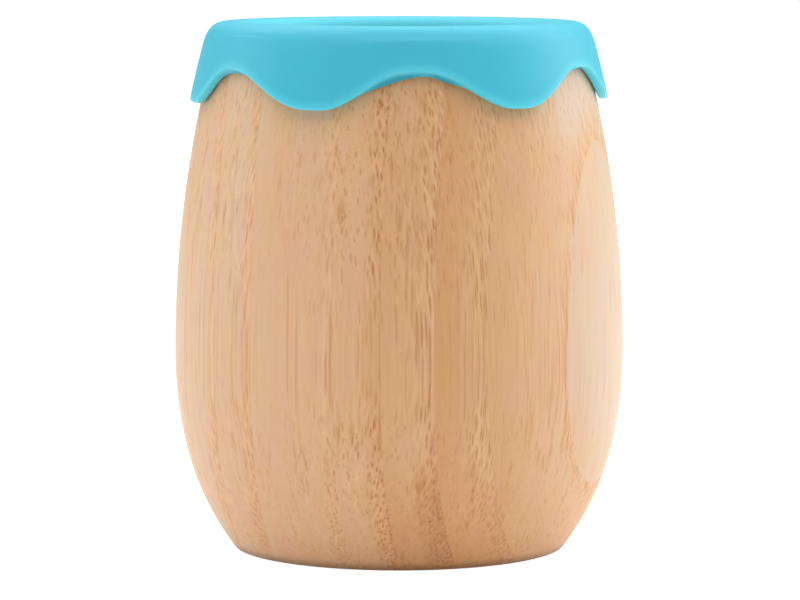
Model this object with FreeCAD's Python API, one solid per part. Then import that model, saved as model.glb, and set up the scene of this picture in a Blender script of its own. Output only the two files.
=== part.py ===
import FreeCAD, Part
import math
import os

# A small child's drinking cup, turned from a block of laminated bamboo, with a soft silicone
# drinking rim stretched over its mouth. All sizes are in millimetres. The cup stands on its base
# at z = 0 with +Z up, and the photographed side faces -Y.
V = FreeCAD.Vector
UP = V(0, 0, 1)
ORIGIN = V(0, 0, 0)

# The turned outside: three arcs that meet smoothly, from the foot to the mouth.
CUP_HEIGHT = 80.4
FOOT_RADIUS = 25.7
MOUTH_RADIUS = 28.1
BELLY_SWELL = 6.9
BELLY_RADIUS = MOUTH_RADIUS + BELLY_SWELL
BELLY_HEIGHT = 30.5
LOWER_BELLY_ARC = 63.5
FOOT_ARC_TOP = 16.5
FOOT_EDGE_ROUND = 0.8

# The bored inside.
MOUTH_WALL = 3.5
BORE_DRAFT = 1.0
FLOOR_THICKNESS = 7.0
BORE_CORNER_RADIUS = 6.0
MOUTH_EDGE_ROUND = 0.6

# The laminated block: boards glued face to face, each of strips glued edge to edge. BOARD_TURN
# is how far the boards are turned about +Z. BOARDS are their thicknesses from the left, for a
# block as wide as they add up to, and the front strip of each is FRONT_STRIPS wide on it. A
# larger or smaller block has the same boards and strips in proportion.
BOARD_TURN = -19.4
BOARDS = (9.5, 7.2, 7.2, 6.8, 7.0, 7.2, 7.4, 6.9, 8.7, 4.1)
FRONT_STRIPS = (26.0, 27.4, 23.2, 17.5, 21.0, 15.2, 20.0, 25.5, 16.6, 21.0)
STRIP_WIDTH = 21.0
BLOCK_ALLOWANCE = 1.0

# The silicone rim: a lip on the wood's top edge, a flange in the bore and a wavy skirt outside.
FIT_CLEARANCE = 0.3
LIP_THICKNESS = 1.6
SKIRT_THICKNESS = 1.45
FLANGE_THICKNESS = 1.6
FLANGE_DEPTH = 7.0
SHOULDER_ROUND = 3.5
INNER_LIP_ROUND = 1.4
FLANGE_END_ROUND = 0.6
DRIP_LENGTH = 12.4
WAVE_DEPTH = 5.8
SKIRT_EDGE_ROUND = 0.5
DRIP_ANGLES = (-80.0, -23.5, 35.0, 88.0, 152.0, 216.0)
POINTS_PER_HALF_WAVE = 6


def at(r, z):
    """A point of a half section, at radius r and height z."""
    return V(r, 0, z)


def arc(centre, start, end):
    """The short arc from start to end about centre."""
    middle = (start - centre) + (end - centre)
    middle.normalize()
    return Part.Arc(start, centre + middle * (start - centre).Length, end).toShape()


def outline(points):
    return [Part.makeLine(a, b) for a, b in zip(points, points[1:])]


def turned(edges):
    """The solid that a closed half section makes about the cup's axis."""
    return Part.Face(Part.Wire(edges)).revolve(ORIGIN, UP, 360)


def rounded(solid, radius, places):
    """Rounds the full circles of solid that have these (radius, height) places."""
    found = []
    for r, z in places:
        for edge in solid.Edges:
            circle = edge.Curve
            if isinstance(circle, Part.Circle) and abs(circle.Radius - r) < 0.01:
                if abs(circle.Center.z - z) < 0.01:
                    found.append(edge)
                    break
    return solid.makeFillet(radius, found)


def end_rounding(side_centre, side_radius, end_z, radius):
    """The rounding between a flat end at end_z and a side arc: its centre and its two ends, the
    one on the flat first. The radius is negative at a lower end."""
    z = end_z - radius
    reach = side_radius - abs(radius)
    r = side_centre.x + math.sqrt(reach ** 2 - (z - side_centre.z) ** 2)
    centre = at(r, z)
    return centre, at(r, end_z), side_centre + (centre - side_centre) * (side_radius / reach)


def upper_arc_radius():
    """The radius of the arc from the belly's widest point up to the mouth."""
    rise = CUP_HEIGHT - BELLY_HEIGHT
    drawn_in = BELLY_RADIUS - MOUTH_RADIUS
    return (rise ** 2 + drawn_in ** 2) / (2 * drawn_in)


def upper_side(z, offset=0.0):
    """The radius at height z of the side above the belly, moved outwards by offset."""
    arc_radius = upper_arc_radius()
    centre_r = BELLY_RADIUS - arc_radius
    return centre_r + math.sqrt((arc_radius + offset) ** 2 - (z - BELLY_HEIGHT) ** 2)


def bore_radius(z):
    return MOUTH_RADIUS - MOUTH_WALL - (CUP_HEIGHT - z) * math.tan(math.radians(BORE_DRAFT))


def cup_side():
    """The outside from the base to the mouth's top edge, and where it starts and ends."""
    belly = at(BELLY_RADIUS, BELLY_HEIGHT)
    lower_centre = at(BELLY_RADIUS - LOWER_BELLY_ARC, BELLY_HEIGHT)
    slope = math.asin((BELLY_HEIGHT - FOOT_ARC_TOP) / LOWER_BELLY_ARC)
    inwards = V(-math.cos(slope), 0, math.sin(slope))
    joint = lower_centre - inwards * LOWER_BELLY_ARC
    chord = at(FOOT_RADIUS, 0) - joint
    foot_arc = chord.dot(chord) / (2 * chord.dot(inwards))
    foot_centre = joint + inwards * foot_arc
    upper_centre = at(BELLY_RADIUS - upper_arc_radius(), BELLY_HEIGHT)
    low, start, foot = end_rounding(foot_centre, foot_arc, 0, -FOOT_EDGE_ROUND)
    high, end, shoulder = end_rounding(upper_centre, upper_arc_radius(), CUP_HEIGHT, MOUTH_EDGE_ROUND)
    return start, end, [arc(low, start, foot),
                        arc(foot_centre, foot, joint),
                        arc(lower_centre, joint, belly),
                        arc(upper_centre, belly, shoulder),
                        arc(high, shoulder, end)]


def turned_cup():
    """The whole wooden cup, before it is parted into its strips."""
    mouth_r = bore_radius(CUP_HEIGHT)
    draft = math.radians(BORE_DRAFT)
    floor_r = bore_radius(FLOOR_THICKNESS)
    flat_r = floor_r - BORE_CORNER_RADIUS * math.tan(math.pi / 4 + draft / 2)
    centre = at(flat_r, FLOOR_THICKNESS + BORE_CORNER_RADIUS)
    corner_top = centre + V(math.cos(draft), 0, -math.sin(draft)) * BORE_CORNER_RADIUS
    start, end, side = cup_side()
    section = outline([at(0, 0), start]) + side + outline([end, at(mouth_r, CUP_HEIGHT), corner_top])
    section.append(arc(centre, corner_top, at(flat_r, FLOOR_THICKNESS)))
    section += outline([at(flat_r, FLOOR_THICKNESS), at(0, FLOOR_THICKNESS), at(0, 0)])
    return rounded(turned(section), MOUTH_EDGE_ROUND, [(mouth_r, CUP_HEIGHT)])


def block_edges(widths):
    """Where pieces of these widths end, side by side from one side of the block to the other."""
    half = BELLY_RADIUS + BLOCK_ALLOWANCE
    scale = 2 * half / sum(BOARDS)
    edges = [-half]
    for width in widths:
        edges.append(edges[-1] + width * scale)
    return edges


def strip_widths(front_strip):
    """The widths of the strips along one board, from the front of the block to the back."""
    rest = sum(BOARDS) - front_strip
    count = math.floor(rest / STRIP_WIDTH)
    return [front_strip] + [STRIP_WIDTH] * count + [rest - STRIP_WIDTH * count]


def bamboo_strips(cup):
    """Each strip of each board, as the lathe leaves it. A strip that it cuts away is left out."""
    strips = {}
    lines = block_edges(BOARDS)
    for board, front_strip in enumerate(FRONT_STRIPS):
        left, right = lines[board], lines[board + 1]
        joints = block_edges(strip_widths(front_strip))
        count = 0
        for front, back in zip(joints, joints[1:]):
            blank = Part.makeBox(right - left, back - front, CUP_HEIGHT, V(left, front, 0))
            blank.rotate(ORIGIN, UP, BOARD_TURN)
            strip = cup.common(blank)
            if strip.Solids:
                count += 1
                strips["board_%02d_strip_%d" % (board + 1, count)] = strip
    return strips


def wave_heights():
    """Angle and height of the skirt's lower edge: a half cosine between each drip and crest."""
    drip_z = CUP_HEIGHT + LIP_THICKNESS - DRIP_LENGTH
    places = []
    for start, end in zip(DRIP_ANGLES, DRIP_ANGLES[1:] + (DRIP_ANGLES[0] + 360,)):
        steps = 2 * POINTS_PER_HALF_WAVE
        for step in range(steps):
            share = step / steps
            z = drip_z + WAVE_DEPTH * (1 - math.cos(2 * math.pi * share)) / 2
            places.append((math.radians(start + (end - start) * share), z))
    return places


def under_wave():
    """What is cut away below the skirt's wavy edge."""
    inside = bore_radius(CUP_HEIGHT) + MOUTH_WALL / 2
    outside = BELLY_RADIUS + SKIRT_THICKNESS * 2
    rings = []
    for r in (inside, outside):
        points = [V(r * math.sin(a), -r * math.cos(a), z) for a, z in wave_heights()]
        curve = Part.BSplineCurve()
        curve.interpolate(Points=points, PeriodicFlag=True)
        rings.append(curve.toShape())
    return Part.makeRuledSurface(rings[0], rings[1]).extrude(UP * -DRIP_LENGTH)


def wavy_edges(skirt):
    """The long edges round the skirt's lower end."""
    lowest = CUP_HEIGHT + LIP_THICKNESS - DRIP_LENGTH
    found = []
    for edge in skirt.Edges:
        box = edge.BoundBox
        if abs(box.ZMin - lowest) < 0.1 and box.ZLength > WAVE_DEPTH / 2 and box.XLength > MOUTH_RADIUS:
            found.append(edge)
    return found


def silicone_rim():
    """The moulded rim: flange in the bore, lip over the wood's top edge, skirt outside."""
    top = CUP_HEIGHT + LIP_THICKNESS
    flange_z = CUP_HEIGHT - FLANGE_DEPTH
    skirt_z = top - DRIP_LENGTH - SKIRT_THICKNESS
    flange_outer = bore_radius(CUP_HEIGHT) - FIT_CLEARANCE
    flange_end = bore_radius(flange_z) - FIT_CLEARANCE
    flange_inner = flange_outer - FLANGE_THICKNESS
    face = FIT_CLEARANCE + SKIRT_THICKNESS
    side_centre = at(BELLY_RADIUS - upper_arc_radius(), BELLY_HEIGHT)
    inner_top = at(upper_side(CUP_HEIGHT, FIT_CLEARANCE), CUP_HEIGHT)
    inner_foot = at(upper_side(skirt_z, FIT_CLEARANCE), skirt_z)
    outer_foot = at(upper_side(skirt_z, face), skirt_z)
    shoulder, crest, side = end_rounding(side_centre, upper_arc_radius() + face, top, SHOULDER_ROUND)
    section = outline([crest, at(flange_inner, top), at(flange_inner, flange_z),
                       at(flange_end, flange_z), at(flange_outer, CUP_HEIGHT), inner_top])
    section.append(arc(side_centre, inner_top, inner_foot))
    section += outline([inner_foot, outer_foot])
    section.append(arc(side_centre, outer_foot, side))
    section.append(arc(shoulder, side, crest))
    rim = rounded(turned(section), INNER_LIP_ROUND, [(flange_inner, top)])
    rim = rounded(rim, FLANGE_END_ROUND, [(flange_inner, flange_z), (flange_end, flange_z)])
    rim = rim.cut(under_wave())
    return rim.makeFillet(SKIRT_EDGE_ROUND, wavy_edges(rim))


def main():
    os.makedirs("parts", exist_ok=True)
    nodes = bamboo_strips(turned_cup())
    nodes["silicone_drinking_rim"] = silicone_rim()
    for name, shape in nodes.items():
        shape.exportStep("parts/%s.step" % name)
        print("%-24s solids %d  volume %8.1f mm3" % (name, len(shape.Solids), shape.Volume))


main()
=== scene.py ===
import math

import bmesh
import bpy
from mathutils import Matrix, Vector


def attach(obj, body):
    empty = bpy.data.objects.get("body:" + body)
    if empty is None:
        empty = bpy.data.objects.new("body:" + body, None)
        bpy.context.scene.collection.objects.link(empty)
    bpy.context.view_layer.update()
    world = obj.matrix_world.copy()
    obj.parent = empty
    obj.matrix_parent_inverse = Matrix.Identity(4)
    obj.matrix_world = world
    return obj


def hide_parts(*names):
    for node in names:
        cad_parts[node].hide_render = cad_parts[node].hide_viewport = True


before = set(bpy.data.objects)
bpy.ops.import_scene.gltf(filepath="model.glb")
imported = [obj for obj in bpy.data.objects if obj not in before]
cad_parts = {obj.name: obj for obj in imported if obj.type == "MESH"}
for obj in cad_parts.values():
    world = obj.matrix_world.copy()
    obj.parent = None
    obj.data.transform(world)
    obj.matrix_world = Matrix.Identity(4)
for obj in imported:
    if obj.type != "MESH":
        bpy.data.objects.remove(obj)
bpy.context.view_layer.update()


# The wooden cup: a block of bamboo boards, glued face to face, each of strips glued edge to edge.
# The block was turned on a lathe, bored and oiled, so every strip shows on the turned side as a
# tall band, and the fibres in it run straight up.
CUP_HEIGHT = 0.0804
FOOT_RADIUS = 0.0257
MOUTH_RADIUS = 0.0281
BELLY_RADIUS = 0.035
BELLY_HEIGHT = 0.0305
LOWER_BELLY_ARC = 0.0635
FOOT_ARC_TOP = 0.0165
FOOT_EDGE_ROUND = 0.0008
MOUTH_WALL = 0.0035
BORE_DRAFT = math.radians(1.0)
FLOOR_THICKNESS = 0.007
BORE_CORNER_RADIUS = 0.006
MOUTH_EDGE_ROUND = 0.0006
LATHE_STEPS = 300

BOARD_TURN = math.radians(-19.4)
BOARDS = (0.0095, 0.0072, 0.0072, 0.0068, 0.007, 0.0072, 0.0074, 0.0069, 0.0087, 0.0041)
FRONT_STRIPS = (0.026, 0.0274, 0.0232, 0.0175, 0.021, 0.0152, 0.02, 0.0255, 0.0166, 0.021)
STRIP_WIDTH = 0.021


def place(r, z):
    """A point of a half section, at radius r and height z."""
    return Vector((r, 0, z))


def draw_line(section, end, goal):
    """Draws the half section on from end in a straight line to goal."""
    new_end = bmesh.ops.extrude_vert_indiv(section, verts=[end])["verts"][0]
    new_end.co = goal
    return new_end


def draw_arc(section, end, centre, goal, steps):
    """Draws the half section on from end, the short way round centre, to goal."""
    start_angle = math.atan2(end.co.z - centre.z, end.co.x - centre.x)
    goal_angle = math.atan2(goal.z - centre.z, goal.x - centre.x)
    turn = (goal_angle - start_angle + math.pi) % (2 * math.pi) - math.pi
    arc = bmesh.ops.spin(section, geom=[end], cent=centre, axis=(0, -1, 0), angle=turn, steps=steps)
    return next(part for part in arc["geom_last"] if isinstance(part, bmesh.types.BMVert))


def round_corners(section, corners, radius, segments):
    """Rounds corners of the half section."""
    bmesh.ops.bevel(section, geom=corners, offset=radius, offset_type="OFFSET", segments=segments,
                    profile=0.5, affect="VERTICES", material=-1)


def end_rounding(side_centre, side_radius, end_z, radius):
    """The rounding between a flat end at end_z and a side arc: its centre and its two ends, the
    one on the flat first. The radius is negative at a lower end."""
    z = end_z - radius
    reach = side_radius - abs(radius)
    r = side_centre.x + math.sqrt(reach ** 2 - (z - side_centre.z) ** 2)
    centre = place(r, z)
    return centre, place(r, end_z), side_centre + (centre - side_centre) * (side_radius / reach)


def upper_arc_radius():
    """The radius of the arc from the belly's widest point up to the mouth."""
    rise = CUP_HEIGHT - BELLY_HEIGHT
    drawn_in = BELLY_RADIUS - MOUTH_RADIUS
    return (rise ** 2 + drawn_in ** 2) / (2 * drawn_in)


def upper_arc_centre():
    return place(BELLY_RADIUS - upper_arc_radius(), BELLY_HEIGHT)


def upper_side(z, offset=0.0):
    """The radius at height z of the side above the belly, moved outwards by offset."""
    centre_r = BELLY_RADIUS - upper_arc_radius()
    return centre_r + math.sqrt((upper_arc_radius() + offset) ** 2 - (z - BELLY_HEIGHT) ** 2)


def bore_radius(z):
    return MOUTH_RADIUS - MOUTH_WALL - (CUP_HEIGHT - z) * math.tan(BORE_DRAFT)


def turn_round(section, steps):
    """Turns a half section about the cup's axis into a closed skin that faces outwards."""
    bmesh.ops.spin(section, geom=section.verts[:] + section.edges[:], cent=(0, 0, 0),
                   axis=(0, 0, 1), angle=2 * math.pi, steps=steps, use_merge=True)
    bmesh.ops.remove_doubles(section, verts=section.verts, dist=1e-6)
    bmesh.ops.recalc_face_normals(section, faces=section.faces)
    for face in section.faces:
        face.smooth = True


def turned_cup():
    """The whole wooden cup, before it is parted into its strips."""
    belly = place(BELLY_RADIUS, BELLY_HEIGHT)
    lower_centre = place(BELLY_RADIUS - LOWER_BELLY_ARC, BELLY_HEIGHT)
    slope = math.asin((BELLY_HEIGHT - FOOT_ARC_TOP) / LOWER_BELLY_ARC)
    inwards = place(-math.cos(slope), math.sin(slope))
    joint = lower_centre - inwards * LOWER_BELLY_ARC
    chord = place(FOOT_RADIUS, 0) - joint
    foot_arc = chord.dot(chord) / (2 * chord.dot(inwards))
    foot_centre = joint + inwards * foot_arc
    upper_centre = upper_arc_centre()
    low, base, foot = end_rounding(foot_centre, foot_arc, 0, -FOOT_EDGE_ROUND)
    high, top, shoulder = end_rounding(upper_centre, upper_arc_radius(), CUP_HEIGHT,
                                       MOUTH_EDGE_ROUND)
    corner_reach = BORE_CORNER_RADIUS * math.tan(math.pi / 4 + BORE_DRAFT / 2)
    flat_r = bore_radius(FLOOR_THICKNESS) - corner_reach
    corner = place(flat_r, FLOOR_THICKNESS + BORE_CORNER_RADIUS)
    to_bore = place(math.cos(BORE_DRAFT), -math.sin(BORE_DRAFT))

    cup = bmesh.new()
    end = draw_line(cup, cup.verts.new(place(0, 0)), base)
    end = draw_arc(cup, end, low, foot, steps=5)
    end = draw_arc(cup, end, foot_centre, joint, steps=12)
    end = draw_arc(cup, end, lower_centre, belly, steps=10)
    end = draw_arc(cup, end, upper_centre, shoulder, steps=28)
    end = draw_arc(cup, end, high, top, steps=5)
    mouth = draw_line(cup, end, place(bore_radius(CUP_HEIGHT), CUP_HEIGHT))
    end = draw_line(cup, mouth, corner + to_bore * BORE_CORNER_RADIUS)
    end = draw_arc(cup, end, corner, place(flat_r, FLOOR_THICKNESS), steps=10)
    draw_line(cup, end, place(0, FLOOR_THICKNESS))
    round_corners(cup, [mouth], MOUTH_EDGE_ROUND, segments=5)
    turn_round(cup, LATHE_STEPS)
    return cup


def saw(block, point, normal):
    """Cuts away what lies beyond a flat plane, and closes the cut face."""
    cut = bmesh.ops.bisect_plane(block, geom=block.verts[:] + block.edges[:] + block.faces[:],
                                 dist=1e-8, plane_co=point, plane_no=normal, clear_outer=True)
    edges = [part for part in cut["geom_cut"] if isinstance(part, bmesh.types.BMEdge)]
    bmesh.ops.triangle_fill(block, use_beauty=True, edges=edges, normal=normal)
    for edge in edges:
        edge.smooth = False


def across(distance):
    """A place in the block, at this distance across the boards from the left."""
    return Vector((math.cos(BOARD_TURN), math.sin(BOARD_TURN), 0)) * distance


def along(distance):
    """A place in the block, at this distance along the boards from the front."""
    return Vector((-math.sin(BOARD_TURN), math.cos(BOARD_TURN), 0)) * distance


def block_edges(widths):
    """Where pieces of these widths end, side by side from one side of the block to the other."""
    edges = [-sum(BOARDS) / 2]
    for width in widths:
        edges.append(edges[-1] + width)
    return edges


def strip_widths(front_strip):
    """The widths of the strips along one board, from the front of the block to the back."""
    rest = sum(BOARDS) - front_strip
    count = math.floor(rest / STRIP_WIDTH)
    return [front_strip] + [STRIP_WIDTH] * count + [rest - STRIP_WIDTH * count]


class Value:
    """A number on its way through a finish. Arithmetic on it adds Math nodes."""

    def __init__(self, finish, socket):
        self.finish = finish
        self.socket = socket

    def math(self, operation, *others):
        return self.finish.math(operation, self, *others)

    def __add__(self, other):
        return self.math("ADD", other)

    def __radd__(self, other):
        return self.math("ADD", other)

    def __sub__(self, other):
        return self.math("SUBTRACT", other)

    def __rsub__(self, other):
        return self.finish.math("SUBTRACT", other, self)

    def __mul__(self, other):
        return self.math("MULTIPLY", other)

    def __rmul__(self, other):
        return self.math("MULTIPLY", other)

    def __truediv__(self, other):
        return self.math("DIVIDE", other)

    def __rtruediv__(self, other):
        return self.finish.math("DIVIDE", other, self)


class Finish:
    """The nodes of a material, or of the room's light."""

    def __init__(self, owner, shader):
        owner.use_nodes = True
        self.nodes = owner.node_tree.nodes
        self.links = owner.node_tree.links
        self.shader = self.nodes[shader]

    def add(self, kind, settings, values):
        """A new node with its settings, and the values or links of its sockets."""
        node = self.nodes.new(kind)
        for name, setting in settings.items():
            setattr(node, name, setting)
        self.fill(node, values)
        return node

    def fill(self, node, values):
        for key, value in values.items():
            if isinstance(value, Value):
                self.links.new(value.socket, node.inputs[key])
            else:
                node.inputs[key].default_value = value

    def where(self):
        """Where on the piece each point is, in metres."""
        return Value(self, self.add("ShaderNodeTexCoord", {}, {}).outputs["Object"])

    def attribute(self, name):
        """A number that the mesh holds at each of its points."""
        node = self.add("ShaderNodeAttribute", {"attribute_name": name}, {})
        return Value(self, node.outputs["Fac"])

    def math(self, operation, *numbers):
        node = self.add("ShaderNodeMath", {"operation": operation}, dict(enumerate(numbers)))
        return Value(self, node.outputs[0])

    def larger(self, first, second):
        return self.math("MAXIMUM", first, second)

    def combine(self, x, y, z):
        node = self.add("ShaderNodeCombineXYZ", {}, {0: x, 1: y, 2: z})
        return Value(self, node.outputs[0])

    def separate(self, vector):
        node = self.add("ShaderNodeSeparateXYZ", {}, {0: vector})
        return [Value(self, socket) for socket in node.outputs]

    def mix(self, factor, first, second, blend="MIX"):
        """Lays the second colour over the first."""
        node = self.add("ShaderNodeMix", {"data_type": "RGBA", "blend_type": blend},
                        {0: factor, 6: first, 7: second})
        return Value(self, node.outputs[2])

    def fade(self, value, start, end, low=0.0, high=1.0):
        """Goes smoothly from low to high as value goes from start to end."""
        node = self.add("ShaderNodeMapRange", {"interpolation_type": "SMOOTHSTEP"},
                        {0: value, 1: start, 2: end, 3: low, 4: high})
        return Value(self, node.outputs[0])

    def noise(self, vector, detail, scale=1.0, output=0):
        """Soft noise between 0 and 1, or three such noises as a colour for output 1."""
        node = self.add("ShaderNodeTexNoise", {},
                        {"Vector": vector, "Scale": scale, "Detail": detail})
        return Value(self, node.outputs[output])

    def cells(self, spot):
        """Scattered points in a flat section: how far the nearest is, where it is, and its own
        random colour."""
        node = self.add("ShaderNodeTexVoronoi", {"voronoi_dimensions": "2D"},
                        {"Vector": spot, "Scale": 1.0, "Randomness": 1.0})
        return [Value(self, node.outputs[name]) for name in ("Distance", "Position", "Color")]

    def bump(self, height, strength, distance):
        """The surface's normal where it stands out by height."""
        node = self.add("ShaderNodeBump", {},
                        {"Strength": strength, "Distance": distance, "Height": height})
        return Value(self, node.outputs[0])


# The colours of the wood, two faint tints that lie over it in clouds, and what the dark sheaths,
# the long fibre lines, the light vessels, and the foot's painted contact shadow and stain multiply
# it by.
HONEY_BAMBOO = (0.695, 0.365, 0.158, 1)
TAN_BAMBOO = (0.77, 0.475, 0.262, 1)
CREAM_BAMBOO = (0.735, 0.56, 0.405, 1)
YELLOW_TINT = (1.0, 1.0, 0.95, 1)
PINK_TINT = (1.0, 0.98, 1.04, 1)
SHEATH_SHADE = (0.74, 0.53, 0.37, 1)
LINE_SHADE = (0.84, 0.71, 0.58, 1)
VESSEL_SHINE = (1.10, 1.12, 1.14, 1)
FOOT_SHADOW_AND_STAIN = (0.44, 0.43, 0.40, 1)

# For each board: its colour at the pith and at the skin, from honey at 0 through tan to cream at
# 1, how many millimetres its crowded fibres reach in from the skin, how strongly they show, how
# much honey is in its foot, and how much cream is in its top by the skin.
BOARD_LOOKS = ((0.68, 0.68, 1.5, 0.6, 0.0, 0.0), (0.64, 0.62, 1.8, 1.0, 0.1, 0.0),
               (0.62, 0.60, 1.8, 1.0, 0.1, 0.0), (0.60, 0.56, 1.0, 0.3, 0.0, 0.0),
               (0.52, 0.52, 1.9, 0.85, 0.0, 0.0), (0.42, 0.20, 2.2, 1.5, 0.0, 0.0),
               (0.04, 0.30, 2.8, 1.2, 1.1, 0.0), (-0.32, 0.32, 3.0, 1.0, 0.3, 0.0),
               (0.06, 0.60, 0.7, 0.95, 0.2, 0.6), (0.78, 1.06, 0.8, 0.2, 0.0, 0.0))

# The finish works in millimetres, 1000 to the metre. Slow and quick waves carry the fibres this
# far out of line, and fibre bundles lie this far apart, across and along a board.
MILLIMETRES = 1000
SLOW_WAVE = 0.9
QUICK_WAVE = 0.32
SCATTERED_SPACING = (0.74, 0.32)
CROWDED_SPACING = (0.64, 0.34)


def scattered_bundles(finish, x, y, seed):
    """The cut ends of fibre bundles that lie apart: how strongly their dark sheaths show, each on
    one side of its bundle, and how strongly the light vessels in and around it do."""
    across_board, along_board = SCATTERED_SPACING
    column = x / across_board + seed
    distance, bundle, chance = finish.cells(finish.combine(column, y / along_board, 0.0))
    aside = column - finish.separate(bundle)[0]
    size, depth, side = finish.separate(chance)
    spread = distance / finish.fade(size, 0.0, 1.0, 0.7, 1.3)
    one_side = finish.fade(aside * (side - 0.5), -0.03, 0.04, 0.3, 1.0)
    sheath = finish.fade(spread, 0.29, 0.16) * one_side * finish.fade(depth, 0.2, 0.9, 0.1, 1.0)
    around = finish.fade(spread, 0.28, 0.36) * finish.fade(spread, 0.52, 0.38) * 0.6
    vessel = (finish.fade(spread, 0.11, 0.03) + around) * finish.fade(side, 0.3, 0.8)
    return sheath, vessel


def crowded_bundles(finish, x, y, seed):
    """The same where the bundles are small and stand close: dark specks with light between."""
    across_board, along_board = CROWDED_SPACING
    column = x / across_board - seed
    distance, _, chance = finish.cells(finish.combine(column, y / along_board, 0.0))
    depth, _, light = finish.separate(chance)
    speck = finish.fade(distance, 0.38, 0.16) * finish.fade(depth, 0.1, 0.8, 0.3, 1.0)
    between = finish.fade(distance, 0.36, 0.52) * finish.fade(light, 0.2, 0.7)
    return speck, between


def bamboo(name, left, right, look, seed):
    """Oiled bamboo in section: across and along the strip lie the cut ends of its fibre bundles,
    which run straight up through it. They are small and crowded towards the culm's skin, at the
    strip's right, and large and scattered towards its pith."""
    pith_tone, skin_tone, reach, strength, stain, cream = look
    material = bpy.data.materials.new(name)
    finish = Finish(material, "Principled BSDF")
    mapping = finish.add("ShaderNodeMapping", {}, {"Vector": finish.where(),
                                                   "Rotation": (0, 0, -BOARD_TURN),
                                                   "Scale": (MILLIMETRES,) * 3})
    x, y, z = finish.separate(Value(finish, mapping.outputs[0]))
    width = (right - left) * MILLIMETRES
    from_skin = right * MILLIMETRES - x

    slow = finish.noise(finish.combine(x * 0.05 + seed, y * 0.05, z * 0.035), 1.0, output=1)
    sway_x, sway_y, haze = finish.separate(slow)
    quick = finish.noise(finish.combine(x * 1.3, y * 1.3, z * 0.18 + seed), 1.0, output=1)
    shake_x, shake_y, blotch = finish.separate(quick)
    x_now = x + (sway_x - 0.5) * SLOW_WAVE + (shake_x - 0.5) * QUICK_WAVE
    y_now = y + (sway_y - 0.5) * SLOW_WAVE + (shake_y - 0.5) * QUICK_WAVE

    fine = finish.noise(finish.combine(x_now * 1.7 + seed, y_now * 1.7, z * 0.03), 2.5)
    bunched = finish.noise(finish.combine(x * 0.22, y * 0.22 + seed, z * 0.035), 1.0)
    bands = finish.noise(finish.combine(x_now * 0.5, y_now * 0.5, z * 0.02 - seed), 1.5)
    mottle = finish.noise(finish.combine(x * 0.28 - seed, y * 0.28, z * 0.13), 1.5)
    rows = finish.noise(finish.combine(x_now * 2.6, y_now * 2.6 - seed, z * 0.08), 1.0)

    ragged = from_skin + (blotch - 0.5) * 1.6 + (haze - 0.5) * 2.0
    crowded = finish.fade(ragged, reach * 1.5, reach * 0.5)
    stained = finish.fade(z, 20.0, 5.0) * (0.25 + crowded * 0.75) * stain
    tone = finish.fade(from_skin, width, 0.0, pith_tone, skin_tone) - crowded * 0.16 * strength
    tone = tone - stained
    tone = tone + finish.fade(z, 60.0, 72.0) * finish.fade(from_skin, 9.0, 0.5) * cream
    tone = tone + (bands - 0.5) * 0.5 + (haze - 0.5) * 0.3 + (blotch - 0.5) * 0.2
    ground = finish.mix(finish.fade(tone, -0.5, 0.6), HONEY_BAMBOO, TAN_BAMBOO)
    ground = finish.mix(finish.fade(tone, 0.4, 1.1), ground, CREAM_BAMBOO)
    tint = finish.mix(finish.fade(mottle, 0.3, 0.7), YELLOW_TINT, PINK_TINT)
    ground = finish.mix(1.0, ground, tint, "MULTIPLY")

    sheath, vessel = scattered_bundles(finish, x_now, y_now, seed)
    speck, between = crowded_bundles(finish, x_now, y_now, seed)
    sheath = sheath * (1.0 - crowded) * finish.fade(z, 10.0, 22.0, 0.45, 0.75)
    by_skin = finish.fade(from_skin + (blotch - 0.5) * 1.4, 1.0, 0.1)
    row = by_skin * finish.fade(rows, 0.46, 0.60) * 0.45
    marks = finish.larger(finish.larger(sheath, speck * crowded * 0.9), row)
    lines = (fine - 0.5) * finish.fade(bunched, 0.44, 0.60, 0.2, 1.0)
    dark_lines = finish.fade(lines, 0.0, 0.22) * (0.35 + 0.45 * strength)
    shine = finish.larger(vessel * (1.0 - crowded) * 0.7, between * crowded * 0.9)
    shine = finish.larger(shine, finish.fade(lines, 0.0, -0.25) * 0.6)
    # Painted shade and stain: the lowest 1.6 mm of the foot is darkened as the cup's contact shadow
    # on the table, and a stained foot a little more.
    foot_shadow_and_stain = finish.larger(finish.fade(z, 1.6, 0.1) * 0.75, stained * 0.2)
    colour = finish.mix(dark_lines, ground, LINE_SHADE, "MULTIPLY")
    colour = finish.mix(marks * 0.72 * strength, colour, SHEATH_SHADE, "MULTIPLY")
    colour = finish.mix(shine * strength, colour, VESSEL_SHINE, "MULTIPLY")
    colour = finish.mix(foot_shadow_and_stain, colour, FOOT_SHADOW_AND_STAIN, "MULTIPLY")

    relief = finish.bump(fine * 0.4 - marks, strength=0.08, distance=0.0002)
    finish.fill(finish.shader, {"Base Color": colour, "Roughness": fine * 0.16 + 0.42,
                                "Normal": relief, "Specular IOR Level": 0.35})
    return material


def new_piece(name, mesh_data, material):
    """A finished piece from its bmesh."""
    mesh = bpy.data.meshes.new(name)
    mesh_data.to_mesh(mesh)
    mesh_data.free()
    mesh.materials.append(material)
    piece = bpy.data.objects.new(name, mesh)
    bpy.context.collection.objects.link(piece)
    return piece


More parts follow.
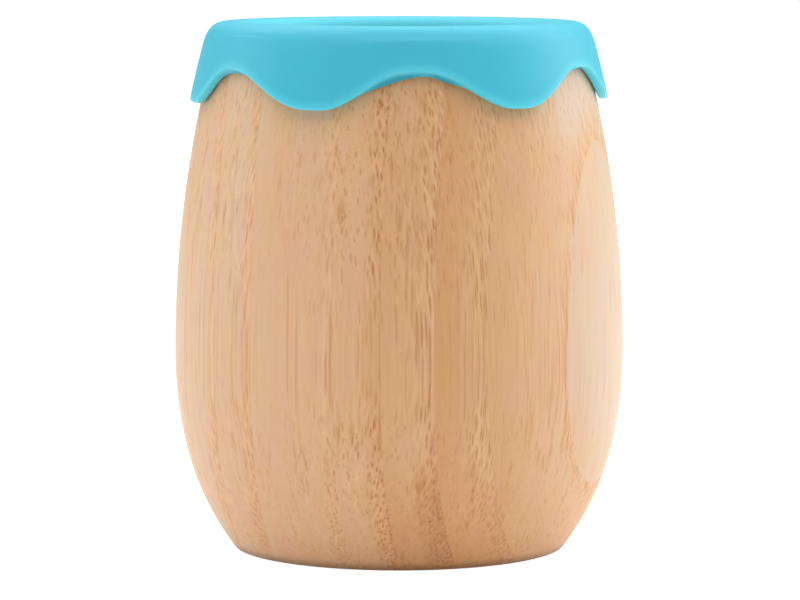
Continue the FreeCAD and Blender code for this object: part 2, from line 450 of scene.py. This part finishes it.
cup = turned_cup()
glue_lines = block_edges(BOARDS)
for board, front_strip in enumerate(FRONT_STRIPS):
    left, right = glue_lines[board:board + 2]
    slab = cup.copy()
    saw(slab, across(left), across(-1))
    saw(slab, across(right), across(1))
    joints = block_edges(strip_widths(front_strip))
    count = 0
    for front, back in zip(joints, joints[1:]):
        strip = slab.copy()
        saw(strip, along(front), along(-1))
        saw(strip, along(back), along(1))
        if not strip.faces:
            strip.free()
            continue
        count += 1
        node = "board_%02d_strip_%d" % (board + 1, count)
        seed = 7.3 * board + 3.1 * count
        wood = bamboo("bamboo_%02d_%d" % (board + 1, count), left, right, BOARD_LOOKS[board], seed)
        piece = new_piece("bamboo_" + node, strip, wood)
        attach(piece, "cup")
        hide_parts(node)
    slab.free()
cup.free()


# The drinking rim: one soft moulding of food-safe silicone in turquoise. Its channel is stretched
# over the cup's top edge, with a flange in the bore and a skirt outside that ends in a wave of
# drips. Nothing but its own grip holds it, so it pulls off for washing.
FIT_CLEARANCE = 0.0003
LIP_THICKNESS = 0.0016
SKIRT_THICKNESS = 0.00145
FLANGE_THICKNESS = 0.0016
FLANGE_DEPTH = 0.007
SHOULDER_ROUND = 0.003
SHOULDER_EASE = 0.008
EASE_TOP = math.radians(30)
INNER_LIP_ROUND = 0.0022
FLANGE_END_ROUND = 0.0006
DRIP_LENGTH = 0.0124
SKIRT_EDGE_ROUND = 0.0009
RIM_STEPS = 360

RIM_TOP = CUP_HEIGHT + LIP_THICKNESS
SKIRT_BOTTOM = RIM_TOP - DRIP_LENGTH
FLANGE_OUTER = bore_radius(CUP_HEIGHT) - FIT_CLEARANCE
FLANGE_INNER = FLANGE_OUTER - FLANGE_THICKNESS
SKIRT_FACE = FIT_CLEARANCE + SKIRT_THICKNESS

# Where the skirt's lower edge turns: the angle from the front in degrees, and how far it stands
# there above the lowest drips.
WAVE = ((-77, 0.0), (-55, 0.0057), (-25.5, 0.0), (-21.5, 0.0), (2, 0.00565), (7.5, 0.00565),
        (33, 0.0001), (36, 0.0001), (61, 0.0058), (64, 0.0058), (88, 0.0004), (120, 0.0058),
        (152, 0.0), (184, 0.0058), (216, 0.0), (248, 0.0058), (280, 0.0), (283, 0.0))

# How much lower the edge's inner side stands, which shows under the crests as a slanted face.
UNDERCUT = ((-80, 0.0), (-66, 0.0), (-54, 0.0009), (-44, 0.0), (-14, 0.0), (-1.5, 0.00135),
            (7.3, 0.00075), (12.5, 0.00103), (21.5, 0.0), (52, 0.0), (60, 0.0006), (67, 0.0),
            (88, 0.0), (120, 0.0005), (152, 0.0), (184, 0.0005), (216, 0.0), (248, 0.0005),
            (280, 0.0))

# The slant begins at this share of the skirt's thickness. Its painted shade, a deeper turquoise, is
# full from the second share on, where the undercut is deep, and lighter where it is slight.
SLANT_START = 0.35
SLANT_FULLY_SHADED = 0.65
DEEP_UNDERCUT = 0.001

# How far up from its lower edge the skirt gets a painted highlight, a lighter turquoise.
PAINTED_EDGE_LIGHT_HEIGHT = 0.0018


def height_at(turns, angle):
    """The height at an angle from the front, on a smooth curve between turning points."""
    turned = (angle - turns[0][0]) % 360 + turns[0][0]
    start, end = next(pair for pair in zip(turns, turns[1:]) if turned <= pair[1][0])
    passed = (turned - start[0]) / (end[0] - start[0])
    return start[1] + (end[1] - start[1]) * (1 - math.cos(math.pi * passed)) / 2


def share(value, start, end):
    """How much of the way from start to end value has come, from 0 to 1."""
    return min(1.0, max(0.0, (value - start) / (end - start)))


def rim_section():
    """The half section: flange in the bore, lip over the wood's top edge, skirt outside."""
    flange_z = CUP_HEIGHT - FLANGE_DEPTH
    flange_end = bore_radius(flange_z) - FIT_CLEARANCE
    side_centre = upper_arc_centre()
    side_radius = upper_arc_radius() + SKIRT_FACE
    eased = SHOULDER_EASE - SHOULDER_ROUND
    climb = RIM_TOP - side_centre.z - SHOULDER_ROUND - eased * math.sin(EASE_TOP)
    rise = climb / (side_radius - SHOULDER_EASE)
    slope = place(math.sqrt(1 - rise ** 2), rise)
    ease_centre = side_centre + slope * (side_radius - SHOULDER_EASE)
    ease_end = place(math.cos(EASE_TOP), math.sin(EASE_TOP))
    shoulder_centre = ease_centre + ease_end * eased
    crest = shoulder_centre + place(0, SHOULDER_ROUND)
    channel = place(upper_side(CUP_HEIGHT, FIT_CLEARANCE), CUP_HEIGHT)
    skirt_inside = place(upper_side(SKIRT_BOTTOM, FIT_CLEARANCE), SKIRT_BOTTOM)
    skirt_outside = place(upper_side(SKIRT_BOTTOM, SKIRT_FACE), SKIRT_BOTTOM)

    rim = bmesh.new()
    lip = draw_line(rim, rim.verts.new(crest), place(FLANGE_INNER, RIM_TOP))
    inner_end = draw_line(rim, lip, place(FLANGE_INNER, flange_z))
    outer_end = draw_line(rim, inner_end, place(flange_end, flange_z))
    end = draw_line(rim, outer_end, place(FLANGE_OUTER, CUP_HEIGHT))
    end = draw_line(rim, end, channel)
    inner_foot = draw_arc(rim, end, side_centre, skirt_inside, steps=24)
    outer_foot = draw_line(rim, inner_foot, skirt_outside)
    end = draw_arc(rim, outer_foot, side_centre, side_centre + slope * side_radius, steps=24)
    end = draw_arc(rim, end, ease_centre, ease_centre + ease_end * SHOULDER_EASE, steps=10)
    draw_arc(rim, end, shoulder_centre, crest, steps=12)
    round_corners(rim, [lip], INNER_LIP_ROUND, segments=8)
    round_corners(rim, [inner_end, outer_end], FLANGE_END_ROUND, segments=8)
    round_corners(rim, [inner_foot], SKIRT_EDGE_ROUND / 3, segments=8)
    round_corners(rim, [outer_foot], SKIRT_EDGE_ROUND, segments=8)
    return rim


def silicone_rim():
    """The turned rim with its skirt drawn up into the wave. Under a crest the edge slants down to
    the wood, and it is square under a drip. Three numbers at each point tell the finish where to
    paint shade on the slanted face, and light along the lower edge and on the lip's inner side."""
    rim = rim_section()
    turn_round(rim, RIM_STEPS)
    wood_r = bore_radius(CUP_HEIGHT) + MOUTH_WALL / 2
    drawn_up = CUP_HEIGHT - SKIRT_BOTTOM - 2 * SKIRT_EDGE_ROUND
    cut_shade_layer = rim.verts.layers.float.new("cut")
    edge_light_layer = rim.verts.layers.float.new("edge")
    inner_light_layer = rim.verts.layers.float.new("inner")
    for vertex in rim.verts:
        r, z = math.hypot(vertex.co.x, vertex.co.y), vertex.co.z
        # Painted light: the lip's inner side is marked for a lighter turquoise, standing in for the
        # light it gets in the bore.
        vertex[inner_light_layer] = 1 - share(r, FLANGE_INNER, FLANGE_INNER + INNER_LIP_ROUND)
        if r < wood_r or z > CUP_HEIGHT:
            continue
        angle = math.atan2(vertex.co.x, -vertex.co.y)
        undercut = height_at(UNDERCUT, math.degrees(angle))
        depth = (upper_side(z, SKIRT_FACE) - r) / SKIRT_THICKNESS
        # Painted shade: the slanted face under the crests is marked for a deeper turquoise, full
        # where the undercut is deep.
        vertex[cut_shade_layer] = (share(depth, SLANT_START, SLANT_FULLY_SHADED)
                             * share(undercut, 0, DEEP_UNDERCUT))
        # Painted highlight: the skirt's lowest part is marked for a lighter turquoise, standing in
        # for the light its rounded edge catches.
        vertex[edge_light_layer] = 1 - share(z, SKIRT_BOTTOM, SKIRT_BOTTOM + PAINTED_EDGE_LIGHT_HEIGHT)
        raised = height_at(WAVE, math.degrees(angle)) - undercut * share(depth, SLANT_START, 1.0)
        z_now = z + min(1.0, (CUP_HEIGHT - z) / drawn_up) * raised
        r_now = r + upper_side(z_now) - upper_side(z)
        vertex.co = (r_now * math.sin(angle), -r_now * math.cos(angle), z_now)
    return rim


# The silicone's turquoise and a cloudier one, a lighter turquoise painted on as light along the
# skirt's lower edge and on the lip's inner side, and a deeper one painted on as shade on the
# slanted face.
TURQUOISE = (0.062, 0.55, 0.715, 1)
CLOUDED_TURQUOISE = (0.075, 0.60, 0.76, 1)
PAINTED_LIGHT_TURQUOISE = (0.12, 0.72, 0.88, 1)
PAINTED_SHADE_TURQUOISE = (0.003, 0.32, 0.45, 1)


def turquoise_silicone():
    """Matt moulded silicone, with a painted highlight along the skirt's lower edge and on the lip's
    inner side, and painted shade on the slanted face.
    """
    material = bpy.data.materials.new("turquoise_silicone")
    finish = Finish(material, "Principled BSDF")
    spot = finish.where()
    cloud = finish.noise(spot, 2.0, scale=90.0)
    skin = finish.noise(spot, 2.0, scale=2600.0)
    edge, cut, inner = (finish.attribute(name) for name in ("edge", "cut", "inner"))
    # Painted highlight along the skirt's lower edge and on the lip's inner side.
    painted_light = finish.larger(finish.fade(edge, 0.0, 0.8) * 0.55, inner * 0.9)
    colour = finish.mix(cloud * 0.12, TURQUOISE, CLOUDED_TURQUOISE)
    colour = finish.mix(painted_light, colour, PAINTED_LIGHT_TURQUOISE)
    # Painted shade on the slanted face under the crests.
    colour = finish.mix(cut, colour, PAINTED_SHADE_TURQUOISE)
    relief = finish.bump(skin, strength=0.08, distance=0.0001)
    finish.fill(finish.shader, {"Base Color": colour, "Roughness": skin * 0.12 + 0.40,
                                "Normal": relief, "Specular IOR Level": 0.4,
                                "Subsurface Weight": 0.35,
                                "Subsurface Radius": (0.4, 1.0, 1.0),
                                "Subsurface Scale": 0.0015})
    return material


rim = new_piece("turquoise_drinking_rim", silicone_rim(), turquoise_silicone())
rim.data.set_sharp_from_angle(angle=math.radians(40))
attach(rim, "drinking_rim")
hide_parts("silicone_drinking_rim")


# The studio: a white table top under and behind the cup, which shows white to the camera and
# still keeps the cup's soft shadow, in the even light of a white room with three softboxes.
TABLE_SIZE = 12.0
TABLE_WHITE = (0.92, 0.92, 0.92, 1)
TABLE_GLOW = 0.8
ROOM_COLOUR = (1.0, 0.985, 0.965, 1)
ROOM_LIGHT = 0.26
ROOM_SEEN = 1.0

# Each softbox: its name, where it stands, how wide it is, and its power in watts.
SOFTBOXES = (("left_softbox", (-0.50, 0.06, 0.12), 0.34, 0.5),
             ("right_softbox", (0.46, 0.14, 0.24), 0.36, 1.0),
             ("top_softbox", (0.0, 0.05, 0.75), 1.6, 12.5))
AIM = Vector((0, 0, 0.045))

# The camera's tilt is measured from straight down, so it looks a little below level.
CAMERA_PLACE = (0, -0.6147, 0.100)
CAMERA_TILT = math.radians(90 - 5.715)
CAMERA_LENS = 177.9
CAMERA_SENSOR = 36
CAMERA_SHIFT = 0.0011
CAMERA_NEAREST = 0.01


def table_finish():
    """White, and glowing for the eye alone: seen straight, mirrored or through something."""
    material = bpy.data.materials.new("white_table")
    finish = Finish(material, "Principled BSDF")
    path = finish.add("ShaderNodeLightPath", {}, {})
    camera, glossy, passing = (Value(finish, path.outputs[name]) for name in
                               ("Is Camera Ray", "Is Glossy Ray", "Is Transmission Ray"))
    seen = finish.larger(finish.larger(camera, glossy), passing)
    finish.fill(finish.shader, {"Base Color": TABLE_WHITE, "Roughness": 0.9,
                                "Specular IOR Level": 0.0,
                                "Emission Color": (1, 1, 1, 1),
                                "Emission Strength": seen * TABLE_GLOW})
    return material


table = bmesh.new()
bmesh.ops.create_grid(table, x_segments=2, y_segments=2, size=TABLE_SIZE / 2)
floor = new_piece("white_table", table, table_finish())

world = bpy.data.worlds.new("studio")
bpy.context.scene.world = world
room = Finish(world, "Background")
seen = Value(room, room.add("ShaderNodeLightPath", {}, {}).outputs["Is Camera Ray"])
brightness = room.add("ShaderNodeMapRange", {},
                      {"Value": seen, "To Min": ROOM_LIGHT, "To Max": ROOM_SEEN})
room.fill(room.shader, {"Color": ROOM_COLOUR,
                        "Strength": Value(room, brightness.outputs["Result"])})

for name, spot, size, power in SOFTBOXES:
    light = bpy.data.lights.new(name, "AREA")
    light.size = size
    light.energy = power
    lamp = bpy.data.objects.new(name, light)
    lamp.location = spot
    lamp.rotation_euler = (AIM - Vector(spot)).to_track_quat("-Z", "Y").to_euler()
    bpy.context.collection.objects.link(lamp)

camera = bpy.data.objects.new("camera", bpy.data.cameras.new("camera"))
bpy.context.collection.objects.link(camera)
camera.location = CAMERA_PLACE
camera.rotation_euler = (CAMERA_TILT, 0, 0)
camera.data.lens = CAMERA_LENS
camera.data.sensor_width = CAMERA_SENSOR
camera.data.shift_x = CAMERA_SHIFT
camera.data.clip_start = CAMERA_NEAREST
bpy.context.scene.camera = camera
bpy.context.scene.view_settings.view_transform = "Standard"
